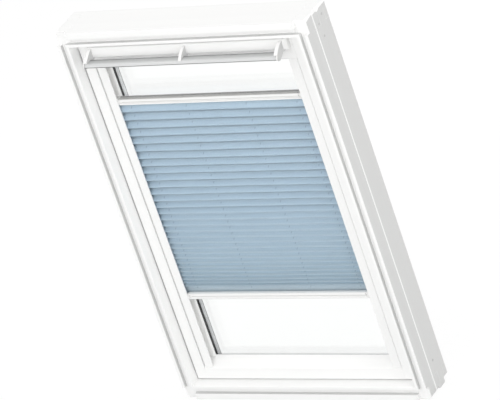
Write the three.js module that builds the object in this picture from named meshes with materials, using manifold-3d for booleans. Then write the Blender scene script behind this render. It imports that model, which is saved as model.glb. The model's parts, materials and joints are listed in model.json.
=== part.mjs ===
import * as THREE from "three";
import { mergeVertices } from "three/addons/utils/BufferGeometryUtils.js";
import Module from "manifold-3d";

const wasm = await Module();
wasm.setup();

// All lengths are millimetres. X runs across the window, Z up along it.
// Depth (Y) is counted from the room face of the frame towards the outside.
// A table called "inset" counts inwards from the outer edge of the frame.

const frame = {
  width: 780,
  height: 1178,
  depth: 118,
  sideWall: 41,
  endWall: 49,
  bevel: 5,
  bevelDepth: 29,
  sideLip: 11.6,
  endLip: 19.8,
  groove: 15.6,
  grooveDepth: 12,
  cornerCut: 39,
  cornerReach: 36,
  sideStep: 2,
  sideStepDepth: 44,
  cornerEasing: 5,
  notchDepth: 5,
  notchReach: 12,
  frontNotchReach: 26,
  footFront: 8,
  footBack: 15,
  footStart: 63,
  footEnd: 94,
};
const fingerShares = [0.356, 0.61, 0.856];
const roundShare = 0.3;
const cornerSides = 4;
const overcut = 1;

const pivot = {
  depth: 64,
  plateLength: 100,
  plateWidth: 40,
  plateThickness: 3,
  plateClearance: 0.2,
  pinRadius: 5.92,
  boreRadius: 6,
  flangeRadius: 14,
  flangeThickness: 2,
  endPlay: 0.4,
};

const sash = {
  gap: 3,
  sideFace: 31.5,
  sillFace: 34,
  headFace: 68,
  ledgeDepth: 58,
  beadWidth: 27.5,
  beadChamfer: 2,
  endBead: 22,
  endBevelDepth: 64,
  glassSeat: 65,
  sideRebateLap: 13,
  endRebateLap: 30,
  back: 100,
};

const glazing = {
  gasketThickness: 8,
  gasketProud: 1.2,
  gasketWidth: 12,
  endGasketSetback: 5,
  paneThickness: 4,
  spacerThickness: 12,
  spacerWidth: 8,
  endSpacerSetback: 13,
  edgeClearance: 1.5,
};

// Outside covers stay this far outside the edge of the clear view.
const cover = {
  plate: 2.5,
  lip: 3,
  sideSetback: 7,
  endSetback: 22,
  outerInset: 2,
  glassClearance: 0.4,
};

const vent = {
  slotHeight: 6,
  filterEndRoom: 30.7,
  filterHeight: 13,
  filterDepth: 10,
  filterSetback: 2,
  filterClearance: 0.5,
  belowTop: 66,
};
const ventSlotShares = [-0.417, -0.139, 0.139, 0.417];
const ventSlotLengthShare = 0.222;

// Side rail of the blind: a channel standing on the ledge of the sash.
// Its front turns back along a narrow shadow gap beside the sash.
const sideRail = {
  wall: 2,
  setback: 2,
  frontWidth: 28.5,
  backWidth: 25.5,
  gapWidth: 2.2,
  gapDepth: 7,
  cornerWidth: 2.8,
  cornerDepth: 3,
  returnLip: 1.5,
  returnDepth: 1.5,
  endClearance: 0.4,
};

const blind = {
  railFront: 33.5,
  railEndGap: 2,
  sliderHeight: 15,
  sliderClearance: 0.4,
  clothSideRoom: 10.3,
  clothFrontRoom: 1.5,
  clothThickness: 0.9,
  clothEndGap: 0.3,
  foldLength: 19.2,
  firstPitch: 25.2,
  pitchLoss: 0.224,
  pitchLossGrowth: 0.01049,
  topHeading: 28,
  bottomHeading: 26.9,
  upperFolds: 14,
  lowerFolds: 16,
};

// Section of the blind's two rails: a lip below, a groove above it, a raised
// face and a thin lip at the top. The cloth ends lie in the deep slots.
const blindRailForm = {
  height: 19,
  depth: 18.5,
  corner: 1,
  lowerLip: 5,
  grooveTop: 8.5,
  grooveDepth: 2.4,
  faceTop: 16.6,
  faceSetback: 0.8,
  fineLineTop: 17.6,
  fineLineDepth: 2,
  slotStart: 10,
  slotEnd: 16.5,
  slotDepth: 6,
  chamberStart: 4.2,
  chamberEnd: 8.2,
  wall: 1.8,
  endNotch: 8.5,
  tongueLength: 14,
  tongueClearance: 0.3,
};
const topRailShare = 0.7912;
const bottomRailShare = 0.2636;
const hemShare = 0.5;

// Ventilation flap: heights count down from the top edge of the frame.
const flap = {
  sideRoom: 6,
  endCap: 7.8,
  endSlope: 13,
  wall: 2.4,
  hingeDepth: 24.5,
  hingeDown: 82,
  hingeRadius: 4,
  hingeBore: 2.5,
  pinRadius: 2.44,
  pinLength: 10,
  lugWidth: 6,
  lugGap: 2,
  back: 28.5,
};
const flapOutline = [
  [28.5, 50],
  [12.5, 50],
  [9, 51.6],
  [6.9, 55],
  [5.5, 61],
  [4.7, 68],
  [4.4, 74],
  [5.3, 78.7],
  [8.5, 81.7],
  [13, 84],
  [18, 86.4],
];

// Control bar: a hollow profile, drawn along its own slope.
const bar = {
  endRoom: 2.7,
  centreDepth: -21.4,
  centreDown: 83.4,
  slope: 0.21,
  wallGap: 0.3,
};
const barOutline = [
  [-9.3, 5.4],
  [-12, 4.7],
  [-14, 3],
  [-14.8, 0],
  [-14, -3],
  [-12, -4.7],
  [-9.3, -5.4],
  [2, -5.2],
  [9, -4.4],
  [13.3, -2.6],
  [14.8, 0.4],
  [14.4, 3],
  [12.4, 4],
  [11.4, 2.6],
  [9.6, 2.6],
  [8.8, 4.6],
  [2, 5.3],
];
const barHollow = [
  [-9, 3.4],
  [-11.6, 2.2],
  [-12.4, 0],
  [-11.6, -2.2],
  [-9, -3.4],
  [2, -3.2],
  [7.4, -2.6],
  [7, 1.6],
  [2, 3.2],
];

const bracket = {
  thickness: 11,
  capThickness: 2.7,
  fit: 0.3,
};
const bracketArc = [
  [-32, 80],
  [-30.5, 78.2],
  [-29, 76.2],
  [-25, 71.4],
  [-20, 67.6],
  [-14, 64.4],
  [-8, 61.2],
  [0, 57.8],
  [7, 55.2],
  [13, 54],
  [13, 84],
  [6, 84.3],
  [-8, 82.6],
  [-20, 84],
];

// The arm of an outer bracket ends on the top of the bar.
const endArmOutline = [
  [13, 53.5],
  [4, 54.8],
  [-4, 57.4],
  [-12, 61.2],
  [-20, 65.8],
  [-27, 70.4],
  [-33.2, 74.6],
  [-28.5, 80.4],
  [-20, 84],
  [-8, 82.6],
  [6, 84.3],
  [13, 84],
];

// The outer plate of an outer bracket runs right round the end of the bar.
const endPlateOutline = [
  [13, 53.5],
  [4, 54.8],
  [-4, 57.2],
  [-12, 59.9],
  [-18.5, 63.5],
  [-24.5, 67.8],
  [-29.5, 72.5],
  [-34, 77.4],
  [-37.4, 81.6],
  [-39.2, 85.4],
  [-38.2, 88.8],
  [-34.6, 91.6],
  [-30, 93.6],
  [-25, 94.2],
  [-18, 91.4],
  [-12.5, 88.4],
  [-8, 85.8],
  [-3.4, 83.2],
  [3, 82.8],
  [13, 85],
];

const halfWidth = frame.width / 2;
const midHeight = frame.height / 2;
const sashSide = frame.sideWall + sash.gap;
const sashEnd = frame.endWall + sash.gap;
const sashInnerSide = sashSide + sash.sideFace;
const sightSide = sashInnerSide + sash.beadWidth;
const rebateSide = sightSide - sash.sideRebateLap;
const glassFront = sash.glassSeat + glazing.gasketThickness;
const spacerFront = glassFront + glazing.paneThickness;
const outerPaneFront = spacerFront + glazing.spacerThickness;
const glassBack = outerPaneFront + glazing.paneThickness;
const railFrontEdge = sashInnerSide + sideRail.frontWidth;
const railFace = frame.bevelDepth + sideRail.setback;
const blindHalf = halfWidth - railFrontEdge - blind.railEndGap;
const channelFront = railFace + sideRail.wall + sideRail.returnDepth;
const channelBack = sash.ledgeDepth - sideRail.wall;
const flapHalf = halfWidth - sashInnerSide - flap.endCap - flap.sideRoom;
const barHalf = flapHalf - bar.endRoom;
const filterHalf = flapHalf - vent.filterEndRoom;
const topRailBottom = topRailShare * frame.height;
const bottomRailBottom = bottomRailShare * frame.height;
const channelSide = sashInnerSide + sideRail.gapWidth + sideRail.wall;
const clothHalf = halfWidth - channelSide - blind.clothSideRoom;
const slotMiddle = (blindRailForm.slotStart + blindRailForm.slotEnd) / 2;
const clothSeat = blind.railFront + slotMiddle;
const coverSide = sightSide - cover.sideSetback;
const clothFront = channelFront + blind.clothFrontRoom;
const sill = endInsets(false);
const head = endInsets(true);

const finishes = {
  whitePaint: { color: 0xf4f4f2, roughness: 0.45, metalness: 0 },
  whiteProfile: { color: 0xf2f2f0, roughness: 0.4, metalness: 0 },
  whitePlastic: { color: 0xededeb, roughness: 0.5, metalness: 0 },
  aluminium: { color: 0xb9bcbd, roughness: 0.35, metalness: 0.9 },
  steel: { color: 0x8f9396, roughness: 0.4, metalness: 1 },
  darkCover: { color: 0x5d6164, roughness: 0.5, metalness: 0.6 },
  rubber: { color: 0x1a1b1c, roughness: 0.8, metalness: 0 },
  glass: { color: 0xdfe9ea, roughness: 0.05, metalness: 0, transparent: true, opacity: 0.35 },
  foam: { color: 0x4c4f50, roughness: 0.95, metalness: 0 },
  cloth: { color: 0x9bb4c8, roughness: 0.9, metalness: 0 },
};

// Insets at one end of the sash; the head is taller, because it carries the flap.
function endInsets(atTop) {
  const face = sashEnd + (atTop ? sash.headFace : sash.sillFace);
  const sight = face + sash.endBead;
  return { face, sight, rebate: sight - sash.endRebateLap, cover: sight - cover.endSetback };
}

function named(name, geometry, finish) {
  const mesh = new THREE.Mesh(geometry, new THREE.MeshStandardMaterial(finishes[finish]));
  mesh.name = name;
  return mesh;
}

function shapeFrom(points) {
  return new THREE.Shape(points.map(([a, b]) => new THREE.Vector2(a, b)));
}

// Outline in X and Y, pulled up along Z.
function prismUp(points, low, high) {
  const options = { depth: high - low, bevelEnabled: false };
  return new THREE.ExtrudeGeometry(shapeFrom(points), options).translate(0, 0, low);
}

// Outline in Y and Z, pulled across along X. Holes are outlines too.
function prismAcross(points, left, right, holes = []) {
  const shape = shapeFrom(points);
  holes.forEach((hole) => shape.holes.push(shapeFrom(hole)));
  const geometry = new THREE.ExtrudeGeometry(shape, { depth: right - left, bevelEnabled: false });
  const turn = new THREE.Matrix4().makeBasis(
    new THREE.Vector3(0, 1, 0),
    new THREE.Vector3(0, 0, 1),
    new THREE.Vector3(1, 0, 0),
  );
  return geometry.applyMatrix4(turn).translate(left, 0, 0);
}

function block(left, right, front, back, low, high) {
  const geometry = new THREE.BoxGeometry(right - left, back - front, high - low);
  return geometry.translate((left + right) / 2, (front + back) / 2, (low + high) / 2);
}

// A block on one side of the window, given by its insets from that side.
function sideBlock(side, outer, inner, front, back, low, high) {
  const near = side * (halfWidth - outer);
  const far = side * (halfWidth - inner);
  return block(Math.min(near, far), Math.max(near, far), front, back, low, high);
}

function rod(radius, start, end, depth, height) {
  const geometry = new THREE.CylinderGeometry(radius, radius, Math.abs(end - start), 28);
  return geometry.rotateZ(Math.PI / 2).translate((start + end) / 2, depth, height);
}

function solid(geometry) {
  const bare = new THREE.BufferGeometry();
  bare.setAttribute("position", geometry.getAttribute("position").clone());
  if (geometry.index) bare.setIndex(geometry.index.clone());
  const merged = mergeVertices(bare);
  const vertProperties = new Float32Array(merged.getAttribute("position").array);
  const triVerts = new Uint32Array(merged.index.array);
  return new wasm.Manifold(new wasm.Mesh({ numProp: 3, vertProperties, triVerts }));
}

function geometryOf(manifold) {
  const mesh = manifold.getMesh();
  const geometry = new THREE.BufferGeometry();
  geometry.setAttribute("position", new THREE.BufferAttribute(mesh.vertProperties, mesh.numProp));
  geometry.setIndex(new THREE.BufferAttribute(mesh.triVerts, 1));
  const flat = geometry.toNonIndexed();
  flat.computeVertexNormals();
  return flat;
}

function cut(geometry, ...tools) {
  return geometryOf(tools.reduce((body, tool) => body.subtract(solid(tool)), solid(geometry)));
}

function join(geometry, ...others) {
  return geometryOf(others.reduce((body, other) => body.add(solid(other)), solid(geometry)));
}

function overlap(geometry, other) {
  return geometryOf(solid(geometry).intersect(solid(other)));
}

// Moves every side of a closed outline outwards by the same distance.
function grow(points, distance) {
  const area = THREE.ShapeUtils.area(points.map(([a, b]) => new THREE.Vector2(a, b)));
  const turn = Math.sign(area);
  return points.map((point, index) => {
    const before = points[(index + points.length - 1) % points.length];
    const after = points[(index + 1) % points.length];
    const first = new THREE.Vector2(point[0] - before[0], point[1] - before[1]).normalize();
    const second = new THREE.Vector2(after[0] - point[0], after[1] - point[1]).normalize();
    const normal = new THREE.Vector2(first.y + second.y, -first.x - second.x).normalize();
    const reach = (turn * distance) / Math.max(normal.dot(new THREE.Vector2(first.y, -first.x)), 0.5);
    return [point[0] + normal.x * reach, point[1] + normal.y * reach];
  });
}

// Closes an open line into a strip of even thickness.
function strip(points, thickness) {
  const inner = points.map((point, index) => {
    const before = points[Math.max(index - 1, 0)];
    const after = points[Math.min(index + 1, points.length - 1)];
    const along = new THREE.Vector2(after[0] - before[0], after[1] - before[1]).normalize();
    return [point[0] - along.y * thickness, point[1] + along.x * thickness];
  });
  return [...points, ...inner.reverse()];
}

// Downward distances become heights.
function fromTop(points) {
  return points.map(([depth, down]) => [depth, frame.height - down]);
}

// The frame: one ring, cut apart into its four members.

function openingCutter() {
  const wide = halfWidth - frame.sideWall + frame.bevel;
  const narrow = halfWidth - frame.sideWall;
  const low = frame.endWall - frame.bevel;
  const high = frame.endWall;
  const end = frame.depth + overcut;
  const plan = [
    [-wide, -overcut],
    [wide, -overcut],
    [wide, 0],
    [narrow, frame.bevelDepth],
    [narrow, end],
    [-narrow, end],
    [-narrow, frame.bevelDepth],
    [-wide, 0],
  ];
  const section = [
    [-overcut, low],
    [0, low],
    [frame.bevelDepth, high],
    [end, high],
    [end, frame.height - high],
    [frame.bevelDepth, frame.height - high],
    [0, frame.height - low],
    [-overcut, frame.height - low],
  ];
  return overlap(prismUp(plan, 0, frame.height), prismAcross(section, -halfWidth, halfWidth));
}

// A block across the window, given by its insets at the sides, below and above.
function insetBlock(side, low, high, front, back) {
  return block(side - halfWidth, halfWidth - side, front, back, low, frame.height - high);
}

// Groove for the lining, and the corners where the outer lip is left out.
function grooveCutter() {
  const grooveBack = frame.grooveDepth;
  const { sideLip, endLip, cornerReach } = frame;
  const ring = insetBlock(sideLip, endLip, endLip, -overcut, grooveBack);
  const corners = [];
  for (const side of [-1, 1]) {
    for (const end of [0, 1]) {
      const low = end ? frame.height - frame.cornerCut : -overcut;
      const high = end ? frame.height + overcut : frame.cornerCut;
      corners.push(sideBlock(side, -overcut, cornerReach, -overcut, grooveBack, low, high));
    }
  }
  const innerEnd = endLip + frame.groove;
  const keep = insetBlock(sideLip + frame.groove, innerEnd, innerEnd, -overcut - overcut, grooveBack + overcut);
  return cut(join(ring, ...corners), keep);
}

// A four-sided bar along a corner edge; it takes off an even slope.
function cornerBar(side, atTop, frontSize, backSize, front, back) {
  const bar = new THREE.CylinderGeometry(backSize, frontSize, back - front, cornerSides);
  return bar.translate(side * halfWidth, (front + back) / 2, atTop ? frame.height : 0);
}

// The upper corner edges are eased, with a notch where the middle fingers meet.
// The lower ones are cut back in front of that finger's foot and behind it.
function cornerCutters() {
  const eased = frame.cornerEasing;
  const deep = eased + frame.notchDepth;
  const front = frame.grooveDepth - overcut;
  const back = frame.depth + overcut;
  const notch = fingerShares[1] * frame.depth;
  return [-1, 1].flatMap((side) => [
    cornerBar(side, true, eased, eased, front, back),
    cornerBar(side, true, deep, eased, front, front + frame.frontNotchReach),
    cornerBar(side, true, eased, deep, notch - frame.notchReach, notch),
    cornerBar(side, true, deep, eased, notch, notch + frame.notchReach),
    cornerBar(side, false, frame.footFront, frame.footFront, front, frame.footStart),
    cornerBar(side, false, frame.footBack, frame.footBack, frame.footEnd, back),
  ]);
}

function frameRing() {
  const slim = halfWidth - frame.sideStep;
  const stepEnd = frame.sideStepDepth + frame.sideStep;
  const plan = [
    [-slim, 0],
    [slim, 0],
    [slim, frame.sideStepDepth],
    [halfWidth, stepEnd],
    [halfWidth, frame.depth],
    [-halfWidth, frame.depth],
    [-halfWidth, stepEnd],
    [-slim, frame.sideStepDepth],
  ];
  return cut(prismUp(plan, 0, frame.height), openingCutter(), grooveCutter(), ...cornerCutters());
}

// Front and back of each finger of the corner joints.
function fingerLevels() {
  const lines = fingerShares.map((share) => share * frame.depth);
  return [-overcut, ...lines, frame.depth + overcut];
}

// Far ends of the fingers: the members of one direction own every other level.
function combEdge(long, short, ownsFirst) {
  const levels = fingerLevels();
  const points = [];
  for (let index = 0; index + 1 < levels.length; index += 1) {
    const owns = (index % 2 === 0) === ownsFirst;
    const reach = owns ? long : short;
    points.push([reach, levels[index]], [reach, levels[index + 1]]);
  }
  return points;
}

function sideMember(ring, side) {
  const high = frame.height + overcut;
  const highShort = frame.height - frame.endWall;
  const top = combEdge(high, highShort, true).map(([reach, level]) => [level, reach]);
  const bottom = combEdge(-overcut, frame.endWall, true).map(([reach, level]) => [level, reach]);
  const inner = side * (halfWidth - frame.sideWall);
  const outer = side * (halfWidth + overcut);
  const mask = prismAcross([...top, ...bottom.reverse()], Math.min(inner, outer), Math.max(inner, outer));
  return cut(overlap(ring, mask), pivotPocket(side, 0));
}

function endMember(ring, atTop) {
  const long = halfWidth + overcut;
  const short = halfWidth - frame.sideWall;
  const right = combEdge(long, short, false);
  const left = combEdge(-long, -short, false);
  const low = atTop ? frame.height - frame.endWall : -overcut;
  const high = atTop ? frame.height + overcut : frame.endWall;
  return overlap(ring, prismUp([...right, ...left.reverse()], low, high));
}

function pivotPocket(side, shrink) {
  const halfPlate = pivot.plateLength / 2 - shrink;
  const halfBreadth = pivot.plateWidth / 2 - shrink;
  const inner = shrink ? frame.sideWall : frame.sideWall + overcut;
  return sideBlock(
    side,
    frame.sideWall - pivot.plateThickness,
    inner,
    pivot.depth - halfBreadth,
    pivot.depth + halfBreadth,
    midHeight - halfPlate,
    midHeight + halfPlate,
  );
}

function pivotPlate(side) {
  const centre = side * (halfWidth - frame.sideWall);
  const reach = pivot.plateThickness + overcut;
  const bore = rod(pivot.boreRadius, centre - reach, centre + reach, pivot.depth, midHeight);
  return cut(pivotPocket(side, pivot.plateClearance), bore);
}

function frameBody() {
  const group = new THREE.Group();
  const ring = frameRing();
  group.add(named("frame_side_left", sideMember(ring, -1), "whitePaint"));
  group.add(named("frame_side_right", sideMember(ring, 1), "whitePaint"));
  group.add(named("frame_head", endMember(ring, true), "whitePaint"));
  group.add(named("frame_sill", endMember(ring, false), "whitePaint"));
  group.add(named("pivot_plate_left", pivotPlate(-1), "steel"));
  group.add(named("pivot_plate_right", pivotPlate(1), "steel"));
  return group;
}

// The sash and what is fixed to it.

function sashSideMember(side) {
  const chamfer = sash.beadChamfer;
  const outline = [
    [sashSide, frame.bevelDepth],
    [sashInnerSide, frame.bevelDepth],
    [sashInnerSide, sash.ledgeDepth],
    [sightSide - chamfer, sash.ledgeDepth],
    [sightSide, sash.ledgeDepth + chamfer],
    [sightSide, sash.glassSeat],
    [rebateSide, sash.glassSeat],
    [rebateSide, sash.back],
    [sashSide, sash.back],
  ];
  const plan = outline.map(([inset, depth]) => [side * (halfWidth - inset), depth]);
  return prismUp(plan, sashEnd, frame.height - sashEnd);
}

// Section of an end member by its insets; raised adds the clearance of a cutter.
function sashEndSection(end, raised) {
  return [
    [frame.bevelDepth, sashEnd],
    [frame.bevelDepth, end.face + raised],
    [sash.endBevelDepth, end.sight + raised],
    [sash.glassSeat, end.sight + raised],
    [sash.glassSeat, end.rebate],
    [sash.back, end.rebate],
    [sash.back, sashEnd],
  ];
}

function flipped(points, atTop) {
  return atTop ? points.map(([depth, height]) => [depth, frame.height - height]) : points;
}

function ventSlots(front, back) {
  const middle = frame.height - vent.belowTop;
  return ventSlotShares.map((share) => {
    const centre = share * filterHalf * 2;
    const half = ventSlotLengthShare * filterHalf;
    const rise = vent.slotHeight / 2;
    return block(centre - half, centre + half, front, back, middle - rise, middle + rise);
  });
}

function filterBlock(grown, front) {
  const half = filterHalf + grown;
  const rise = vent.filterHeight / 2 + grown;
  const middle = frame.height - vent.belowTop;
  const back = frame.bevelDepth + vent.filterSetback + vent.filterDepth;
  return block(-half, half, front, back, middle - rise, middle + rise);
}

function sashEndMember(atTop) {
  const end = endInsets(atTop);
  const reach = halfWidth - sashInnerSide;
  const low = atTop ? frame.height - end.sight - overcut : sashEnd - overcut;
  const high = atTop ? frame.height - sashEnd + overcut : end.sight + overcut;
  const depthEnd = sash.back + overcut;
  const outer = sashInnerSide - overcut;
  const seat = sash.glassSeat;
  const notches = [-1, 1].flatMap((side) => [
    sideBlock(side, outer, sightSide, sash.ledgeDepth, seat, low, high),
    sideBlock(side, outer, rebateSide, seat - overcut, depthEnd, low, high),
  ]);
  const section = flipped(sashEndSection(end, 0), atTop);
  const member = cut(prismAcross(section, -reach, reach), ...notches);
  if (!atTop) return member;
  const recess = filterBlock(vent.filterClearance, frame.bevelDepth - overcut);
  return cut(member, recess, ...ventSlots(frame.bevelDepth, depthEnd));
}

function glassPane(front) {
  const [side, low, high] = [rebateSide, sill.rebate, head.rebate].map(
    (rebate) => rebate + glazing.edgeClearance,
  );
  return insetBlock(side, low, high, front, front + glazing.paneThickness);
}

function spacerRing() {
  const width = glazing.spacerWidth;
  const [low, high] = [sill, head].map((end) => end.sight - glazing.endSpacerSetback);
  const outer = insetBlock(sightSide - width, low - width, high - width, spacerFront, outerPaneFront);
  return cut(outer, insetBlock(sightSide, low, high, spacerFront - overcut, outerPaneFront + overcut));
}

function uprightGasket(side) {
  const inner = sightSide + glazing.gasketProud;
  const outer = inner - glazing.gasketWidth;
  const low = sill.rebate + glazing.edgeClearance;
  const high = frame.height - head.rebate - glazing.edgeClearance;
  return sideBlock(side, outer, inner, sash.glassSeat, glassFront, low, high);
}

function levelGasket(atTop) {
  const reach = halfWidth - sightSide - glazing.gasketProud;
  const high = endInsets(atTop).sight - glazing.endGasketSetback;
  const low = high - glazing.gasketWidth;
  const from = atTop ? frame.height - high : low;
  return block(-reach, reach, sash.glassSeat, glassFront, from, from + glazing.gasketWidth);
}

// Outside covers hold the glass: a plate on the sash and a lip down to the pane.
function coverSection(outerEdge, inner) {
  const lipFront = glassBack + cover.glassClearance;
  return [
    [outerEdge + cover.outerInset, sash.back],
    [inner - cover.lip, sash.back],
    [inner - cover.lip, lipFront],
    [inner, lipFront],
    [inner, sash.back + cover.plate],
    [outerEdge + cover.outerInset, sash.back + cover.plate],
  ];
}

function uprightCover(side) {
  const section = coverSection(sashSide, coverSide);
  const plan = section.map(([inset, depth]) => [side * (halfWidth - inset), depth]);
  return prismUp(plan, sill.cover, frame.height - head.cover);
}

function levelCover(atTop) {
  const coverEnd = endInsets(atTop).cover;
  const section = coverSection(sashEnd, coverEnd).map(([inset, depth]) => [depth, inset]);
  const reach = halfWidth - sashSide - cover.outerInset;
  const member = prismAcross(flipped(section, atTop), -reach, reach);
  const low = coverEnd - cover.lip - overcut;
  const from = atTop ? frame.height - coverEnd - overcut : low;
  const high = from + cover.lip + overcut + overcut;
  const inner = halfWidth - rebateSide;
  const ends = [-1, 1].map((side) => {
    const near = side * inner;
    const far = side * (halfWidth - sashSide);
    const front = sash.glassSeat;
    return block(Math.min(near, far), Math.max(near, far), front, sash.back, from, high);
  });
  const trimmed = cut(member, ...ends);
  if (!atTop) return trimmed;
  return cut(trimmed, ...ventSlots(sash.back - overcut, sash.back + cover.plate + overcut));
}

function pivotPin(side) {
  const root = side * (halfWidth - sashSide);
  const flangeEnd = root + side * pivot.flangeThickness;
  const tip = side * (halfWidth - frame.sideWall + pivot.plateThickness - pivot.endPlay);
  const flange = rod(pivot.flangeRadius, root, flangeEnd, pivot.depth, midHeight);
  return join(flange, rod(pivot.pinRadius, root, tip, pivot.depth, midHeight));
}

function sideRailChannel(side) {
  const { wall, cornerWidth, cornerDepth, returnLip } = sideRail;
  const start = sashInnerSide;
  const gapSide = start + sideRail.gapWidth;
  const gapBack = railFace + sideRail.gapDepth;
  const outline = [
    [start, gapBack],
    [gapSide, gapBack],
    [gapSide, railFace + cornerDepth],
    [gapSide + cornerWidth * roundShare, railFace + cornerDepth * roundShare],
    [gapSide + cornerWidth, railFace],
    [railFrontEdge, railFace],
    [railFrontEdge, channelFront],
    [railFrontEdge - returnLip, channelFront],
    [railFrontEdge - returnLip, railFace + wall],
    [channelSide, railFace + wall],
    [channelSide, gapBack + wall],
    [start + wall, gapBack + wall],
    [start + wall, channelBack],
    [start + sideRail.backWidth, channelBack],
    [start + sideRail.backWidth, sash.ledgeDepth],
    [start, sash.ledgeDepth],
  ];
  const plan = outline.map(([inset, depth]) => [side * (halfWidth - inset), depth]);
  const channel = prismUp(plan, sill.face, frame.height - head.face);
  const trims = [false, true].map((atTop) => {
    const section = sashEndSection(endInsets(atTop), sideRail.endClearance);
    return prismAcross(flipped(section, atTop), -halfWidth, halfWidth);
  });
  return cut(channel, ...trims);
}

function hingeLug(side) {
  const height = frame.height - flap.hingeDown;
  const outer = flapHalf - flap.lugGap;
  const inner = outer - flap.lugWidth;
  const left = side > 0 ? inner : -outer;
  const right = left + flap.lugWidth;
  const radius = flap.hingeRadius;
  const base = block(left, right, flap.hingeDepth, frame.bevelDepth, height - radius, height + radius);
  const lug = join(base, rod(radius, left, right, flap.hingeDepth, height));
  const bore = rod(flap.hingeBore, left - overcut, right + overcut, flap.hingeDepth, height);
  return cut(lug, bore);
}

function sashBody() {
  const group = new THREE.Group();
  for (const [name, side] of [["left", -1], ["right", 1]]) {
    group.add(named(`sash_side_${name}`, sashSideMember(side), "whitePaint"));
    group.add(named(`gasket_${name}`, uprightGasket(side), "rubber"));
    group.add(named(`glazing_cover_${name}`, uprightCover(side), "darkCover"));
    group.add(named(`pivot_pin_${name}`, pivotPin(side), "steel"));
    group.add(named(`blind_side_rail_${name}`, sideRailChannel(side), "whiteProfile"));
    group.add(named(`flap_lug_${name}`, hingeLug(side), "steel"));
  }
  for (const [name, atTop] of [["head", true], ["sill", false]]) {
    group.add(named(`sash_${name}`, sashEndMember(atTop), "whitePaint"));
    group.add(named(`gasket_${name}`, levelGasket(atTop), "rubber"));
    group.add(named(`glazing_cover_${name}`, levelCover(atTop), "darkCover"));
  }
  const filterFront = frame.bevelDepth + vent.filterSetback;
  group.add(named("air_filter", filterBlock(0, filterFront), "foam"));
  group.add(named("glass_inner", glassPane(glassFront), "glass"));
  group.add(named("glass_outer", glassPane(outerPaneFront), "glass"));
  group.add(named("glass_spacer", spacerRing(), "aluminium"));
  return group;
}

// The ventilation flap with its control bar.

function flapPanel() {
  const line = fromTop(flapOutline);
  return prismAcross(strip(line, flap.wall), -flapHalf, flapHalf);
}

// The whole side view of the flap, closed round its hinge.
function flapSideView() {
  const height = frame.height - flap.hingeDown;
  const radius = flap.hingeRadius;
  const corner = Math.SQRT1_2 * radius;
  return [
    ...fromTop(flapOutline),
    [flap.hingeDepth, height - radius],
    [flap.hingeDepth + corner, height - corner],
    [flap.back, height],
  ];
}

// The end cap falls back from the flap's front towards its outer edge.
function flapEnd(side) {
  const start = side * flapHalf;
  const end = side * (flapHalf + flap.endCap);
  const front = Math.min(...flapOutline.map(([depth]) => depth));
  const plan = [
    [start, front],
    [end, front + flap.endSlope],
    [end, flap.back],
    [start, flap.back],
  ];
  const cap = prismAcross(flapSideView(), Math.min(start, end), Math.max(start, end));
  return overlap(cap, prismUp(plan, 0, frame.height));
}

function flapPin(side) {
  const root = side * flapHalf;
  const tip = side * (flapHalf - flap.pinLength);
  return rod(flap.pinRadius, root, tip, flap.hingeDepth, frame.height - flap.hingeDown);
}

function barSection(outline) {
  const across = Math.cos(bar.slope);
  const rise = Math.sin(bar.slope);
  const height = frame.height - bar.centreDown;
  return outline.map(([along, out]) => [
    bar.centreDepth + along * across - out * rise,
    height + along * rise + out * across,
  ]);
}

function flapRoom(left, right) {
  return prismAcross(grow(flapSideView(), bracket.fit), left - overcut, right + overcut);
}

function bracketArm(outline, left, right) {
  const arm = prismAcross(fromTop(outline), left, right);
  const barRoom = prismAcross(grow(barSection(barOutline), bar.wallGap), left - overcut, right + overcut);
  return cut(arm, barRoom, flapRoom(left, right));
}

// End brackets have an arm and a thin outer plate that closes the end of the bar.
function endBracket(side) {
  const capStart = barHalf + bar.wallGap;
  const capEnd = barHalf + bracket.capThickness;
  const inner = capEnd - bracket.thickness;
  const [left, right] = side > 0 ? [inner, capEnd] : [-capEnd, -inner];
  const [plateLeft, plateRight] = side > 0 ? [capStart, capEnd] : [-capEnd, -capStart];
  const plate = prismAcross(fromTop(endPlateOutline), plateLeft, plateRight);
  return join(bracketArm(endArmOutline, left, right), cut(plate, flapRoom(plateLeft, plateRight)));
}

function flapBody() {
  const group = new THREE.Group();
  group.add(named("ventilation_flap", flapPanel(), "whiteProfile"));
  for (const [name, side] of [["left", -1], ["right", 1]]) {
    group.add(named(`flap_end_${name}`, flapEnd(side), "whitePlastic"));
    group.add(named(`flap_hinge_pin_${name}`, flapPin(side), "steel"));
    group.add(named(`bar_bracket_${name}`, endBracket(side), "whitePlastic"));
  }
  const half = bracket.thickness / 2;
  group.add(named("bar_bracket_middle", bracketArm(bracketArc, -half, half), "whitePlastic"));
  const hollow = barSection(barHollow);
  const outline = barSection(barOutline);
  const barGeometry = prismAcross(outline, -barHalf, barHalf, [hollow]);
  group.add(named("control_bar", barGeometry, "aluminium"));
  return group;
}

// The blind: two rails with sliders, and the cloth between them.

function railSection(bottom) {
  const form = blindRailForm;
  const line = [
    [form.corner, 0],
    [0, form.corner],
    [0, form.lowerLip],
    [form.grooveDepth, form.lowerLip],
    [form.grooveDepth, form.grooveTop],
    [form.faceSetback, form.grooveTop],
    [form.faceSetback, form.faceTop],
    [form.fineLineDepth, form.faceTop],
    [form.fineLineDepth, form.fineLineTop],
    [0, form.fineLineTop],
    [0, form.height],
    [form.slotStart, form.height],
    [form.slotStart, form.height - form.slotDepth],
    [form.slotEnd, form.height - form.slotDepth],
    [form.slotEnd, form.height],
    [form.depth, form.height],
    [form.depth, 0],
    [form.slotEnd, 0],
    [form.slotEnd, form.slotDepth],
    [form.slotStart, form.slotDepth],
    [form.slotStart, 0],
  ];
  return line.map(([depth, level]) => [blind.railFront + depth, bottom + level]);
}

function chamberLevels(bottom, clearance) {
  const spare = blindRailForm.wall + clearance;
  return [bottom + spare, bottom + blindRailForm.height - spare];
}

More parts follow.
